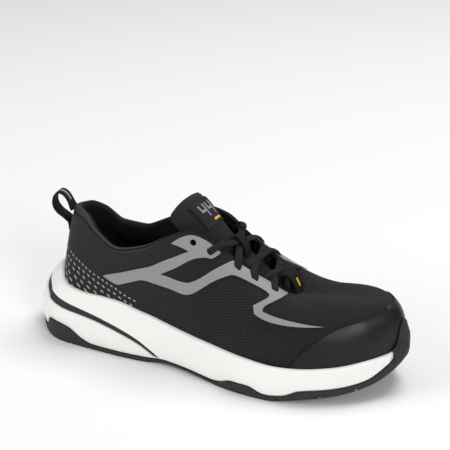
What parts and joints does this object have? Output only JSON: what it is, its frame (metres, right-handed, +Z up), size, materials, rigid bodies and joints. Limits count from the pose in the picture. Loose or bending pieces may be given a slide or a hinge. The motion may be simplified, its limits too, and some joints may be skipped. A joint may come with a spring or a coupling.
{
  "type": "safety sneaker",
  "caption": "Low sports-style safety shoe for the right foot, laced, with a hollow knitted upper over a thick foam sole and a rubber tread.",
  "frame": {"origin": "on the floor under the middle of the shoe's length and width", "axes": "+X towards the toe, +Y towards the inner side of the foot, +Z up"},
  "size_m": [0.3124, 0.112, 0.1264],
  "materials": {
    "rubber": "moulded, matt",
    "band_rubber": "moulded, matt",
    "foam": "moulded foam with a fine skin",
    "insole_cloth": "felted cloth on foam",
    "knit": "open engineered knit",
    "guard_film": "welded film, satin",
    "reflective_film": "welded film, satin",
    "label_cloth": "woven patch",
    "webbing": "woven tape",
    "lace_cord": "braided cord"
  },
  "bodies": {
    "root": {"outsole": "rubber", "midsole": "foam", "heel_band": "band_rubber", "heel_wedge": "foam", "insole": "insole_cloth", "upper": "knit", "toe_guard": "guard_film", "film_outer": "reflective_film", "film_inner": "reflective_film", "tongue": "knit", "tongue_label": "label_cloth", "lace_keeper": "webbing", "lace_crossing_1": "lace_cord", "lace_crossing_2": "lace_cord", "lace_crossing_3": "lace_cord", "lace_bar": "lace_cord", "lace_end_outer": "lace_cord", "lace_end_inner": "lace_cord", "pull_loop": "webbing"}
  },
  "joints": []
}
